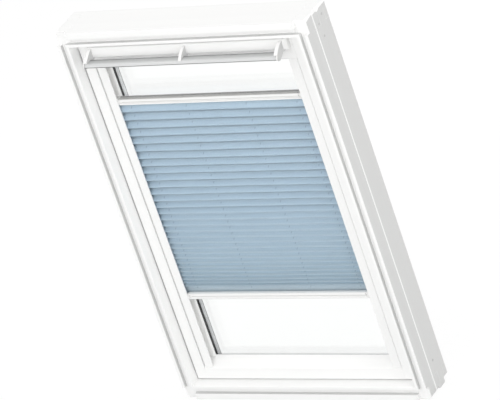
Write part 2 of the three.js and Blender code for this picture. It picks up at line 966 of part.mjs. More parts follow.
function railHollow(bottom) {
  const front = blind.railFront + blindRailForm.chamberStart;
  const back = blind.railFront + blindRailForm.chamberEnd;
  const [low, high] = chamberLevels(bottom, 0);
  return [
    [front, low],
    [back, low],
    [back, high],
    [front, high],
  ];
}

// The front wall stops short at both ends, where the slider's tongue shows.
function railNotch(side, bottom) {
  const form = blindRailForm;
  const inset = halfWidth - blindHalf;
  const back = blind.railFront + form.chamberStart + form.tongueClearance;
  const low = bottom + form.lowerLip;
  const high = bottom + form.fineLineTop;
  return sideBlock(side, inset - overcut, inset + form.endNotch, blind.railFront - overcut, back, low, high);
}

// The cloth is wider than its rails, so its slots run on through the sliders.
function clothSlots(side, bottom) {
  const form = blindRailForm;
  const top = bottom + form.height;
  const front = blind.railFront + form.slotStart;
  const back = blind.railFront + form.slotEnd;
  const outer = channelSide - overcut;
  const inner = halfWidth - blindHalf;
  return [
    sideBlock(side, outer, inner, front, back, bottom - overcut, bottom + form.slotDepth),
    sideBlock(side, outer, inner, front, back, top - form.slotDepth, top + overcut),
  ];
}

// Sliders run in the side rails; a tongue holds each in the end of its rail.
function slider(side, bottom) {
  const form = blindRailForm;
  const inner = halfWidth - blindHalf;
  const outer = channelSide + blind.sliderClearance;
  const front = channelFront + blind.sliderClearance;
  const back = channelBack - blind.sliderClearance;
  const low = bottom + (form.height - blind.sliderHeight) / 2;
  const shoe = sideBlock(side, outer, inner, front, back, low, low + blind.sliderHeight);
  const [tongueLow, tongueHigh] = chamberLevels(bottom, form.tongueClearance);
  const tongueFront = blind.railFront + form.chamberStart + form.tongueClearance;
  const tongueBack = blind.railFront + form.chamberEnd - form.tongueClearance;
  const tip = inner + form.tongueLength;
  const tongue = sideBlock(side, inner - overcut, tip, tongueFront, tongueBack, tongueLow, tongueHigh);
  return cut(join(shoe, tongue), ...clothSlots(side, bottom));
}

function blindRail(prefix, bottom) {
  const group = new THREE.Group();
  const profile = prismAcross(railSection(bottom), -blindHalf, blindHalf, [railHollow(bottom)]);
  const rail = cut(profile, railNotch(-1, bottom), railNotch(1, bottom));
  group.add(named(`blind_${prefix}_rail`, rail, "whiteProfile"));
  group.add(named(`blind_${prefix}_slider_left`, slider(-1, bottom), "whitePlastic"));
  group.add(named(`blind_${prefix}_slider_right`, slider(1, bottom), "whitePlastic"));
  return group;
}

// Pleats hang open at the top and close up towards the bottom.
function pitchAt(fold) {
  return blind.firstPitch - blind.pitchLoss * fold - blind.pitchLossGrowth * fold * fold;
}

// The pleats share out the height between the rails.
function pleatScale(count, top, bottom) {
  let natural = blind.topHeading + blind.bottomHeading;
  for (let fold = 0; fold + 1 < count; fold += 1) natural += pitchAt(fold);
  return (top - bottom) / natural;
}

// Line of the folded cloth, ridge and valley in turn, as depth and height.
function foldLine(count, top, bottom) {
  const scale = pleatScale(count, top, bottom);
  const line = [];
  let ridge = top - blind.topHeading * scale;
  for (let fold = 0; fold < count; fold += 1) {
    const pitch = pitchAt(fold) * scale;
    const depth = Math.sqrt(blind.foldLength ** 2 - (pitch / 2) ** 2);
    line.push([clothFront, ridge]);
    line.push([clothFront + depth, ridge - pitch / 2]);
    ridge -= pitch;
  }
  return line;
}

// One half of the cloth; its ends lie flat against what they are fixed to.
function clothPart(line, lowest, highest) {
  const section = strip(line, blind.clothThickness).map(([depth, level]) => [
    depth,
    Math.min(Math.max(level, lowest), highest),
  ]);
  return prismAcross(section, -clothHalf, clothHalf);
}

function clothBody() {
  const group = new THREE.Group();
  const { height, slotDepth } = blindRailForm;
  const top = topRailBottom + slotDepth - blind.clothEndGap;
  const bottom = bottomRailBottom + height - slotDepth + blind.clothEndGap;
  const folds = blind.upperFolds + blind.lowerFolds;
  const line = foldLine(folds, top, bottom);
  const split = 2 * blind.upperFolds - 1;
  const [seamDepth, seamLevel] = line[split];
  const seamTop = seamLevel + blind.clothEndGap;
  const hem = hemShare * pleatScale(folds, top, bottom);
  const upperHem = [clothSeat, top - blind.topHeading * hem];
  const lowerHem = [clothSeat, bottom + blind.bottomHeading * hem];
  const upper = [[clothSeat, top], upperHem, ...line.slice(0, split), [seamDepth, seamTop]];
  const lower = [...line.slice(split), lowerHem, [clothSeat, bottom]];
  group.add(named("cloth_upper", clothPart(upper, seamTop, top), "cloth"));
  group.add(named("cloth_lower", clothPart(lower, bottom, seamLevel), "cloth"));
  return group;
}

const windowGroup = new THREE.Group();
windowGroup.name = "roof_window_with_pleated_blind";
windowGroup.position.y = -frame.depth / 2;
windowGroup.add(frameBody(), sashBody(), flapBody());
windowGroup.add(blindRail("top", topRailBottom), blindRail("bottom", bottomRailBottom));
windowGroup.add(clothBody());

export default windowGroup;
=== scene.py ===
# %% [markdown]
# # A white roof window with a pleated blind
# The window hangs in a sloping roof: a timber frame, a sash that swings about its
# middle, a ventilation flap with a control bar, and a blue pleated blind between
# two slim rails. The solids come from the shared model, in metres, so everything
# made here is placed by the same numbers.

import json
import math

import bmesh
import bpy
from mathutils import Matrix, Vector

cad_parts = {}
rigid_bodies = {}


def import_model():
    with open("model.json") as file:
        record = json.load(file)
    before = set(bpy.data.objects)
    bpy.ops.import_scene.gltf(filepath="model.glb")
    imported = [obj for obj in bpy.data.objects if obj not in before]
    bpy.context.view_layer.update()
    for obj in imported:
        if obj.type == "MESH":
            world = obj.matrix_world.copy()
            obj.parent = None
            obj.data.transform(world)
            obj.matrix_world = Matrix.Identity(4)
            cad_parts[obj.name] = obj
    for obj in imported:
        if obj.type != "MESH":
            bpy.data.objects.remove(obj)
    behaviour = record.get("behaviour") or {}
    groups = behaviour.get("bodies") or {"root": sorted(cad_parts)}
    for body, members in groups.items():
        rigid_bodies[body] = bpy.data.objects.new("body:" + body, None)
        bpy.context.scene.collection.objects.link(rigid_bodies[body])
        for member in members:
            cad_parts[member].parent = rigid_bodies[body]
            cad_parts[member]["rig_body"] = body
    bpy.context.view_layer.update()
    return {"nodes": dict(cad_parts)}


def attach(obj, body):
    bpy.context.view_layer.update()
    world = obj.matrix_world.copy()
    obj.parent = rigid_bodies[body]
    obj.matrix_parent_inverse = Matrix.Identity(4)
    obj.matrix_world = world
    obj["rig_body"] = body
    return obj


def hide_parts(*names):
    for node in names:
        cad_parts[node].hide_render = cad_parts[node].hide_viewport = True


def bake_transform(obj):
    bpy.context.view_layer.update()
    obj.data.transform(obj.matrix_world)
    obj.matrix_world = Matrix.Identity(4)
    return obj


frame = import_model()
scene = bpy.context.scene
print("solids:", len(frame["nodes"]))

# %% [markdown]
# ## Camera
# The photograph was taken from the right and from above, through a long lens, so
# the window's edges stay nearly parallel. The camera's three directions, to its
# right, up and back, are written out as the columns of its turn, because a rolled
# camera is awkward to give as angles.

# %% Set up the camera
lens_width_mm = 36.0
focal_mm = 308.09
sight_end_m = 60.0
camera_place = Vector((6.01885, -8.27460, 5.73811))
camera_right = Vector((0.8503722, 0.4355412, -0.2952473))
camera_up = Vector((0.0183364, 0.5362431, 0.8438644))
camera_back = Vector((0.5258621, -0.7230126, 0.4480200))

camera_data = bpy.data.cameras.new("photo_camera")
camera_data.sensor_width = lens_width_mm
camera_data.lens = focal_mm
camera_data.clip_end = sight_end_m
camera = bpy.data.objects.new("photo_camera", camera_data)
turn = Matrix((camera_right, camera_up, camera_back)).transposed().to_4x4()
camera.matrix_world = Matrix.Translation(camera_place) @ turn
scene.collection.objects.link(camera)
scene.camera = camera
print("camera distance:", round(camera_place.length, 2), "m")

# %% [markdown]
# ## Light
# White paint shows its shape through small differences in brightness. The sky is
# almost an even white and gives most of the light. A lamp in front lights the room
# face, one near the camera looks into the grooves, one far to the right keeps the
# side faces apart, and one overhead lifts the level faces. A small lamp behind the
# window lights the cloth through. Together they stay low enough that no white face
# burns out.

# %% Helper: the rays that see a white background
scene.view_settings.view_transform = "Standard"
white_background = 1.0


def clear_rays(tree):
    path = tree.nodes.new("ShaderNodeLightPath")
    seen = path.outputs["Is Camera Ray"]
    for ray in ("Is Glossy Ray", "Is Transmission Ray"):
        either = tree.nodes.new("ShaderNodeMath")
        either.operation = "MAXIMUM"
        tree.links.new(seen, either.inputs[0])
        tree.links.new(path.outputs[ray], either.inputs[1])
        seen = either.outputs[0]
    return seen


print("background strength:", white_background)

# %% Make the sky
sky_level, sky_dim_level = 1.23, 1.16
sky_dim_side = (0.0, 1.0, 0.0)
sky_fall_start, sky_fall_end = -0.4, 0.9

world = bpy.data.worlds.new("studio_sky")
scene.world = world
world.use_nodes = True
sky = world.node_tree
sky.nodes.clear()
sky_out = sky.nodes.new("ShaderNodeOutputWorld")
sky_mix = sky.nodes.new("ShaderNodeMixShader")
sky_light = sky.nodes.new("ShaderNodeBackground")
sky_seen = sky.nodes.new("ShaderNodeBackground")
sky_seen.inputs["Strength"].default_value = white_background
sky_place = sky.nodes.new("ShaderNodeTexCoord")
sky_side = sky.nodes.new("ShaderNodeVectorMath")
sky_side.operation = "DOT_PRODUCT"
sky_side.inputs[1].default_value = sky_dim_side
sky_fall = sky.nodes.new("ShaderNodeMapRange")
sky_fall.interpolation_type = "SMOOTHSTEP"
sky_fall.inputs["From Min"].default_value = sky_fall_start
sky_fall.inputs["From Max"].default_value = sky_fall_end
sky_fall.inputs["To Min"].default_value = sky_level
sky_fall.inputs["To Max"].default_value = sky_dim_level
sky.links.new(sky_place.outputs["Generated"], sky_side.inputs[0])
sky.links.new(sky_side.outputs["Value"], sky_fall.inputs["Value"])
sky.links.new(sky_fall.outputs["Result"], sky_light.inputs["Strength"])
sky.links.new(clear_rays(sky), sky_mix.inputs[0])
sky.links.new(sky_light.outputs[0], sky_mix.inputs[1])
sky.links.new(sky_seen.outputs[0], sky_mix.inputs[2])
sky.links.new(sky_mix.outputs[0], sky_out.inputs["Surface"])
print("sky:", sky_level, "towards the room,", sky_dim_level, "behind the window")


# %% Hang the lamps
def soft_lamp(name, place, target, size, watts):
    lamp_data = bpy.data.lights.new(name, "AREA")
    lamp_data.shape = "DISK"
    lamp_data.size = size
    lamp_data.energy = watts
    lamp = bpy.data.objects.new(name, lamp_data)
    aim = Vector(target) - Vector(place)
    lamp.location = place
    lamp.rotation_euler = aim.to_track_quat("-Z", "Y").to_euler()
    scene.collection.objects.link(lamp)
    return lamp


window_middle = (0.0, 0.0, 0.6)
lamp_rows = (
    ("front_lamp", (0.0, -7.0, 1.6), 2.2, 76.0),
    ("camera_side_lamp", (3.6, -6.2, 3.6), 3.0, 57.0),
    ("side_lamp", (6.5, -2.0, 2.0), 3.0, 66.0),
    ("top_lamp", (0.0, -1.0, 6.8), 2.0, 26.0),
    ("back_lamp", (0.0, 2.6, 0.4), 0.7, 30.0),
)
for name, place, size, watts in lamp_rows:
    lamp = soft_lamp(name, place, window_middle, size, watts)
    lamp.visible_camera = name != "back_lamp"
print("lamps:", [(row[0], row[3]) for row in lamp_rows])

# %% [markdown]
# ## Floor
# A pale floor catches the soft shadow under the window. Seen directly, in a
# reflection or through the glass it glows nearly white, so that it melts into the
# white background, and a small part of its real shading stays so that the shadow
# isn't lost. To all other light it is a mid grey, so it throws little light up.

# %% Lay the floor
floor_drop = 0.0005
floor_radius = 14.0
floor_sides = 96

bpy.ops.object.select_all(action="DESELECT")
bpy.ops.mesh.primitive_circle_add(
    vertices=floor_sides, radius=floor_radius, fill_type="NGON", location=(0.0, 0.0, -floor_drop)
)
floor = bpy.context.object
floor.name = "studio_floor"
print("floor radius:", floor_radius, "m")

# %% Finish the floor
floor_glow = 0.93
floor_seen_white = 0.96
floor_grey = 0.56

floor_material = bpy.data.materials.new("studio_floor")
floor_material.use_nodes = True
floor_tree = floor_material.node_tree
floor_tree.nodes.clear()
floor_out = floor_tree.nodes.new("ShaderNodeOutputMaterial")
floor_mix = floor_tree.nodes.new("ShaderNodeMixShader")
floor_paint = floor_tree.nodes.new("ShaderNodeBsdfDiffuse")
floor_tone = floor_tree.nodes.new("ShaderNodeMix")
floor_tone.data_type = "RGBA"
floor_tone.inputs[6].default_value = (floor_grey, floor_grey, floor_grey, 1.0)
floor_tone.inputs[7].default_value = (floor_seen_white, floor_seen_white, floor_seen_white, 1.0)
floor_light = floor_tree.nodes.new("ShaderNodeEmission")
floor_light.inputs["Strength"].default_value = white_background
floor_share = floor_tree.nodes.new("ShaderNodeMath")
floor_share.operation = "MULTIPLY"
floor_share.inputs[1].default_value = floor_glow
floor_clear = clear_rays(floor_tree)
floor_tree.links.new(floor_clear, floor_share.inputs[0])
floor_tree.links.new(floor_clear, floor_tone.inputs[0])
floor_tree.links.new(floor_tone.outputs[2], floor_paint.inputs["Color"])
floor_tree.links.new(floor_share.outputs[0], floor_mix.inputs[0])
floor_tree.links.new(floor_paint.outputs[0], floor_mix.inputs[1])
floor_tree.links.new(floor_light.outputs[0], floor_mix.inputs[2])
floor_tree.links.new(floor_mix.outputs[0], floor_out.inputs["Surface"])
floor.data.materials.append(floor_material)
print("floor glow:", floor_glow, "seen directly,", floor_grey, "grey for all other light")

# %% [markdown]
# ## Shared effects
# Most finishes on a window differ only in scale: a film of paint, a powder coat and
# a moulding all have a faint unevenness in height and in tone. One node group gives
# that unevenness, and a second gives long fine lines, for timber grain under paint
# and for brushed metal. Each material places them with its own values.


# %% Helpers for a node group
def new_group(name, inputs, outputs):
    group = bpy.data.node_groups.new(name, "ShaderNodeTree")
    for socket_name, kind, value in inputs:
        socket = group.interface.new_socket(socket_name, in_out="INPUT", socket_type=kind)
        if value is not None:
            socket.default_value = value
    for socket_name in outputs:
        group.interface.new_socket(socket_name, in_out="OUTPUT", socket_type="NodeSocketFloat")
    return group, group.nodes.new("NodeGroupInput"), group.nodes.new("NodeGroupOutput")


def noise(group, vector, scale, detail, roughness=0.5):
    node = group.nodes.new("ShaderNodeTexNoise")
    node.inputs["Detail"].default_value = detail
    node.inputs["Roughness"].default_value = roughness
    group.links.new(vector, node.inputs["Vector"])
    if hasattr(scale, "links"):
        group.links.new(scale, node.inputs["Scale"])
    else:
        node.inputs["Scale"].default_value = scale
    return node.outputs["Fac"]


print("group helpers:", new_group.__name__, noise.__name__)


# %% Node group: the film on a smooth surface
def film_group():
    inputs = [
        ("Vector", "NodeSocketVector", None),
        ("Fine Scale", "NodeSocketFloat", 900.0),
        ("Patch Scale", "NodeSocketFloat", 7.0),
    ]
    group, entry, out = new_group("surface_film", inputs, ["Height", "Patches"])
    fine = noise(group, entry.outputs["Vector"], entry.outputs["Fine Scale"], detail=2.0)
    patches = noise(
        group, entry.outputs["Vector"], entry.outputs["Patch Scale"], detail=4.0, roughness=0.6
    )
    group.links.new(fine, out.inputs["Height"])
    group.links.new(patches, out.inputs["Patches"])
    return group


surface_film = film_group()
print("node group:", surface_film.name)

# %% Node group: long fine lines
line_wobble_scale = 6.0
broad_line_share = 0.22


def line_group():
    inputs = [
        ("Vector", "NodeSocketVector", None),
        ("Stretch", "NodeSocketVector", (1.0, 1.0, 1.0)),
        ("Wobble", "NodeSocketFloat", 0.002),
    ]
    group, entry, out = new_group("long_lines", inputs, ["Height", "Streaks"])
    wobble = group.nodes.new("ShaderNodeTexNoise")
    wobble.inputs["Scale"].default_value = line_wobble_scale
    group.links.new(entry.outputs["Vector"], wobble.inputs["Vector"])
    shift = group.nodes.new("ShaderNodeVectorMath")
    shift.operation = "SCALE"
    group.links.new(wobble.outputs["Color"], shift.inputs[0])
    group.links.new(entry.outputs["Wobble"], shift.inputs["Scale"])
    moved = group.nodes.new("ShaderNodeVectorMath")
    moved.operation = "ADD"
    group.links.new(entry.outputs["Vector"], moved.inputs[0])
    group.links.new(shift.outputs["Vector"], moved.inputs[1])
    drawn = group.nodes.new("ShaderNodeVectorMath")
    drawn.operation = "MULTIPLY"
    group.links.new(moved.outputs["Vector"], drawn.inputs[0])
    group.links.new(entry.outputs["Stretch"], drawn.inputs[1])
    fine = noise(group, drawn.outputs["Vector"], 1.0, detail=5.0, roughness=0.65)
    broad = noise(group, drawn.outputs["Vector"], broad_line_share, detail=3.0)
    group.links.new(fine, out.inputs["Height"])
    group.links.new(broad, out.inputs["Streaks"])
    return group


long_lines = line_group()
print("node group:", long_lines.name)

# %% [markdown]
# ## Building a finish
# Each finish starts from the same few steps: read the place on the piece, run it
# through one shared group, tint the colour by the broad pattern, let the roughness
# follow it, and turn the fine pattern into a slight relief. The last helper below
# does these steps, and each finish then adds what is special to it.


# %% Helpers: place a group, map a value, blend two colours
def place_group(material, group, values):
    node = material.node_tree.nodes.new("ShaderNodeGroup")
    node.node_tree = group
    for name, value in values.items():
        node.inputs[name].default_value = value
    return node


def map_range(material, source, low, high, source_low=0.3, source_high=0.7):
    node = material.node_tree.nodes.new("ShaderNodeMapRange")
    node.inputs["From Min"].default_value = source_low
    node.inputs["From Max"].default_value = source_high
    node.inputs["To Min"].default_value = low
    node.inputs["To Max"].default_value = high
    material.node_tree.links.new(source, node.inputs["Value"])
    return node.outputs["Result"]


def blend_colours(material, factor, first, second):
    node = material.node_tree.nodes.new("ShaderNodeMix")
    node.data_type = "RGBA"
    for socket, colour in ((node.inputs[6], first), (node.inputs[7], second)):
        if hasattr(colour, "links"):
            material.node_tree.links.new(colour, socket)
        else:
            socket.default_value = (*colour, 1.0)
    material.node_tree.links.new(factor, node.inputs[0])
    return node.outputs[2]


print("helpers:", place_group.__name__, map_range.__name__, blend_colours.__name__)


# %% Helpers: sums, a ramp of tones, and relief
def math_in(material, operation, first, second=None):
    node = material.node_tree.nodes.new("ShaderNodeMath")
    node.operation = operation
    for socket, value in zip(node.inputs, (first, second)):
        if value is None:
            continue
        if hasattr(value, "links"):
            material.node_tree.links.new(value, socket)
        else:
            socket.default_value = value
    return node.outputs[0]


def multiplied(material, first, second):
    node = material.node_tree.nodes.new("ShaderNodeVectorMath")
    node.operation = "MULTIPLY"
    material.node_tree.links.new(first, node.inputs[0])
    material.node_tree.links.new(second, node.inputs[1])
    return node.outputs["Vector"]


def tone_ramp(material, share, stops, tint=(1.0, 1.0, 1.0)):
    ramp = material.node_tree.nodes.new("ShaderNodeValToRGB")
    elements = ramp.color_ramp.elements
    while len(elements) < len(stops):
        elements.new(0.5)
    for element, (place, tone) in zip(elements, stops):
        element.position = place
        element.color = (*(tone * part for part in tint), 1.0)
    material.node_tree.links.new(share, ramp.inputs["Fac"])
    return ramp.outputs["Color"]


def relief(material, height, strength, distance):
    node = material.node_tree.nodes.new("ShaderNodeBump")
    node.inputs["Strength"].default_value = strength
    node.inputs["Distance"].default_value = distance
    material.node_tree.links.new(height, node.inputs["Height"])
    return node.outputs["Normal"]


print("helpers:", math_in.__name__, multiplied.__name__, tone_ramp.__name__, relief.__name__)


# %% Helper: a finish from its pattern, colours and relief
def finish_from(name, group, values, colours, rough, bump, metallic=0.0):
    material = bpy.data.materials.new(name)
    material.use_nodes = True
    shader = material.node_tree.nodes["Principled BSDF"]
    links = material.node_tree.links
    place = material.node_tree.nodes.new("ShaderNodeTexCoord")
    pattern = place_group(material, group, values)
    links.new(place.outputs["Object"], pattern.inputs["Vector"])
    fine, broad = pattern.outputs[0], pattern.outputs[1]
    tone = map_range(material, broad, 0.0, 1.0)
    links.new(blend_colours(material, tone, *colours), shader.inputs["Base Color"])
    links.new(map_range(material, broad, *rough), shader.inputs["Roughness"])
    links.new(relief(material, fine, *bump), shader.inputs["Normal"])
    shader.inputs["Metallic"].default_value = metallic
    return material, shader


print("finishes start from:", surface_film.name, "or", long_lines.name)

# %% [markdown]
# ## White finishes
# The frame and the sash are timber under several coats of satin white paint, so the
# grain hardly shows. Upright and level pieces get the grain along their own length.
# The frame's outer sides, which the roof hides, are a light grey. The walls of the
# groove for the wall lining get the same grey as painted shade, where shade falls
# inside the groove.

# %% White paint, and grey for the outer sides and painted shade in the groove
paint_colours = ((0.888, 0.889, 0.882), (0.905, 0.905, 0.897))
paint_roughness = (0.36, 0.46)
side_grey_and_groove_shade_colours = ((0.655, 0.657, 0.65), (0.675, 0.677, 0.67))
side_grey_and_groove_shade_roughness = (0.50, 0.60)
timber_relief = (0.12, 0.0004)
grain_upright = {"Stretch": (260.0, 260.0, 5.0), "Wobble": 0.003}
grain_level = {"Stretch": (5.0, 260.0, 260.0), "Wobble": 0.003}


def timber_finish(name, grain, colours, rough):
    material, _ = finish_from(name, long_lines, grain, colours, rough, timber_relief)
    return material


paint_upright = timber_finish("white_paint_upright", grain_upright, paint_colours, paint_roughness)
paint_level = timber_finish("white_paint_level", grain_level, paint_colours, paint_roughness)
side_grey_and_groove_shade_upright = timber_finish("side_grey_and_groove_painted_shade_upright", grain_upright, side_grey_and_groove_shade_colours, side_grey_and_groove_shade_roughness)
side_grey_and_groove_shade_level = timber_finish("side_grey_and_groove_painted_shade_level", grain_level, side_grey_and_groove_shade_colours, side_grey_and_groove_shade_roughness)
print("timber:", paint_upright.name, paint_level.name, side_grey_and_groove_shade_upright.name, side_grey_and_groove_shade_level.name)

# %% [markdown]
# ## Coat and mouldings
# The flap and the blind's rails are white-coated metal. The small parts are white
# mouldings, a touch warmer and less shiny than paint. The flanks of the brackets
# that carry the bar get a grey that is painted shade, the shade of faces that look
# sideways, so that they stand out from the white flap behind them.

# %% White coat and mouldings
coat_film = {"Fine Scale": 1400.0, "Patch Scale": 9.0}
coat_colours = ((0.875, 0.876, 0.868), (0.895, 0.895, 0.888))
coat_roughness = (0.30, 0.38)
coat_relief = (0.08, 0.0002)
coat_gloss = 0.15
moulding_film = {"Fine Scale": 2200.0, "Patch Scale": 14.0}
moulding_colours = ((0.86, 0.858, 0.85), (0.885, 0.884, 0.876))
flank_shade_colours = ((0.57, 0.572, 0.57), (0.62, 0.622, 0.618))
moulding_roughness = (0.42, 0.52)
moulding_relief = (0.10, 0.0002)


def coat_finish(name):
    return finish_from(name, surface_film, coat_film, coat_colours, coat_roughness, coat_relief)


def moulding_finish(name, colours):
    return finish_from(name, surface_film, moulding_film, colours, moulding_roughness, moulding_relief)


white_coat, coat_shader = coat_finish("white_coat")
coat_shader.inputs["Coat Weight"].default_value = coat_gloss
white_moulding, _ = moulding_finish("white_moulding", moulding_colours)
flank_shade_moulding, _ = moulding_finish("bracket_flank_painted_shade", flank_shade_colours)
print("coat and mouldings:", white_coat.name, white_moulding.name, flank_shade_moulding.name)

# %% [markdown]
# ## Control bar
# The bar is drawn aluminium with a satin anodised skin: fine lines run along it. Its
# colour carries painted shade: a dark line in the small groove along its face, a face
# that turns darker towards that groove, a dark strip behind the ridge where the flap
# shades it, and a dark underside. A ruler across the bar's section, laid along its
# slope, says how far a point is from the bar's middle, and two ramps turn that into
# tones.

# %% Satin metal with bands of painted shade across the bar
bar_lines = {"Stretch": (8.0, 1500.0, 1500.0), "Wobble": 0.0004}
bar_middle = (0.0, -0.0804, 1.0946)
bar_slope = 0.21
bar_metallic = 0.55
# Painted shade across the face: darker towards the groove, the groove's dark line, and the flap's shadow
# behind the ridge.
face_shade_stops = (
    (-0.015, 0.95),
    (-0.009, 0.95),
    (0.0, 0.76),
    (0.0080, 0.56),
    (0.0084, 0.16),
    (0.0116, 0.16),
    (0.0119, 1.0),
    (0.0134, 1.0),
    (0.0140, 0.12),
    (0.0148, 0.12),
)
# Painted shade on the underside of the bar.
underside_shade_stops = ((-0.0055, 0.07), (-0.0010, 0.08), (0.0003, 0.92), (0.0055, 1.0))
bar_finish, bar_shader = finish_from(
    "satin_bar_metal",
    long_lines,
    bar_lines,
    colours=((0.76, 0.77, 0.77), (0.84, 0.85, 0.85)),
    rough=(0.30, 0.40),
    bump=(0.10, 0.0001),
    metallic=bar_metallic,
)


def bar_ruler(direction):
    nodes = bar_finish.node_tree.nodes
    links = bar_finish.node_tree.links
    place = nodes.new("ShaderNodeTexCoord")
    from_middle = nodes.new("ShaderNodeVectorMath")
    from_middle.operation = "SUBTRACT"
    from_middle.inputs[1].default_value = bar_middle
    measured = nodes.new("ShaderNodeVectorMath")
    measured.operation = "DOT_PRODUCT"
    measured.inputs[1].default_value = direction
    links.new(place.outputs["Object"], from_middle.inputs[0])
    links.new(from_middle.outputs["Vector"], measured.inputs[0])
    return measured.outputs["Value"]


def bar_shade_band(ruler, stops):
    low, high = stops[0][0], stops[-1][0]
    share = map_range(bar_finish, ruler, 0.0, 1.0, low, high)
    return tone_ramp(bar_finish, share, [((place - low) / (high - low), tone) for place, tone in stops])


across_face = bar_ruler((0.0, math.cos(bar_slope), math.sin(bar_slope)))
out_of_face = bar_ruler((0.0, -math.sin(bar_slope), math.cos(bar_slope)))
skin = bar_shader.inputs["Base Color"].links[0].from_socket
for band in (bar_shade_band(across_face, face_shade_stops), bar_shade_band(out_of_face, underside_shade_stops)):
    skin = multiplied(bar_finish, skin, band)
bar_finish.node_tree.links.new(skin, bar_shader.inputs["Base Color"])
print("bar finish:", bar_finish.name, "with", len(face_shade_stops) + len(underside_shade_stops), "tone stops")

# %% [markdown]
# ## Steel, spacer and covers
# The hinge parts are zinc-plated steel, whose crystals make soft patches. The
# spacer between the panes is dull aluminium. The outside covers have a matt grey
# coat.

# %% Steel, spacer and cover
steel_finish, _ = finish_from(
    "zinc_steel",
    surface_film,
    {"Fine Scale": 500.0, "Patch Scale": 160.0},
    colours=((0.42, 0.43, 0.44), (0.58, 0.59, 0.60)),
    rough=(0.28, 0.5),
    bump=(0.15, 0.0002),
    metallic=1.0,
)
cover_finish, _ = finish_from(
    "grey_cover_coat",
    surface_film,
    {"Fine Scale": 1800.0, "Patch Scale": 11.0},
    colours=((0.115, 0.12, 0.126), (0.15, 0.155, 0.16)),
    rough=(0.45, 0.6),
    bump=(0.25, 0.0002),
)
spacer_finish, _ = finish_from(
    "spacer_metal",
    surface_film,
    {"Fine Scale": 700.0, "Patch Scale": 40.0},
    colours=((0.50, 0.51, 0.52), (0.62, 0.63, 0.64)),
    rough=(0.35, 0.45),
    bump=(0.1, 0.0002),
    metallic=0.6,
)
print("metal finishes:", steel_finish.name, cover_finish.name, spacer_finish.name)

# %% [markdown]
# ## Rubber, foam and glass
# The gaskets are matt black rubber and the air filter is open grey foam. The panes
# are clear float glass with a trace of green. Light that only passes through on its
# way to the room isn't darkened, which the Light Path node arranges: shadow and
# diffuse rays meet a clear surface instead of the glass.

# %% Rubber and foam
rubber_finish, _ = finish_from(
    "black_rubber_matt",
    surface_film,
    {"Fine Scale": 1600.0, "Patch Scale": 25.0},
    colours=((0.016, 0.016, 0.017), (0.028, 0.028, 0.03)),
    rough=(0.6, 0.8),
    bump=(0.3, 0.0003),
)
foam_finish, _ = finish_from(
    "open_foam",
    surface_film,
    {"Fine Scale": 650.0, "Patch Scale": 300.0},
    colours=((0.05, 0.05, 0.052), (0.14, 0.14, 0.145)),
    rough=(0.85, 1.0),
    bump=(0.9, 0.002),
)
print("soft finishes:", rubber_finish.name, foam_finish.name)

# %% Glass
glass_tint = (0.995, 1.0, 0.997, 1.0)
glass_bending = 1.45
glass_roughness = (0.0, 0.02)
glass_film_scales = {"Fine Scale": 40.0, "Patch Scale": 3.0}

glass_finish = bpy.data.materials.new("clear_float_glass")
glass_finish.use_nodes = True
glass_nodes = glass_finish.node_tree.nodes
glass_links = glass_finish.node_tree.links
glass_shader = glass_nodes["Principled BSDF"]
glass_shader.inputs["Base Color"].default_value = glass_tint
glass_shader.inputs["Transmission Weight"].default_value = 1.0
glass_shader.inputs["IOR"].default_value = glass_bending
glass_place = glass_nodes.new("ShaderNodeTexCoord")
glass_film = place_group(glass_finish, surface_film, glass_film_scales)
glass_links.new(glass_place.outputs["Object"], glass_film.inputs["Vector"])
glass_links.new(
    map_range(glass_finish, glass_film.outputs["Patches"], *glass_roughness),
    glass_shader.inputs["Roughness"],
)
glass_clear = glass_nodes.new("ShaderNodeBsdfTransparent")
glass_path = glass_nodes.new("ShaderNodeLightPath")
glass_mix = glass_nodes.new("ShaderNodeMixShader")
glass_any = glass_nodes.new("ShaderNodeMath")
glass_any.operation = "MAXIMUM"
glass_links.new(glass_path.outputs["Is Shadow Ray"], glass_any.inputs[0])
glass_links.new(glass_path.outputs["Is Diffuse Ray"], glass_any.inputs[1])
glass_links.new(glass_any.outputs[0], glass_mix.inputs[0])
glass_links.new(glass_shader.outputs[0], glass_mix.inputs[1])
glass_links.new(glass_clear.outputs[0], glass_mix.inputs[2])
glass_links.new(glass_mix.outputs[0], glass_nodes["Material Output"].inputs["Surface"])
print("clear finish:", glass_finish.name)

# %% [markdown]
# ## Rounding the edges
# No painted, rolled or moulded edge is perfectly sharp, and the thin bright line on
# a rounded edge is what makes white on white readable. Each solid is copied, its
# loose triangles are joined into whole faces, and every sharp edge gets a small
# bevel. Weighted normals keep the flat faces flat, so that only the edges turn. The
# copy then stands for the solid and moves with the same body.


# %% Soften a copy of a solid
weld_distance = 0.00001
flat_angle = math.radians(0.6)
edge_angle = math.radians(28.0)
usual_angle, curved_angle = 35.0, 50.0


def pick(piece):
    bpy.ops.object.select_all(action="DESELECT")
    piece.select_set(True)
    bpy.context.view_layer.objects.active = piece


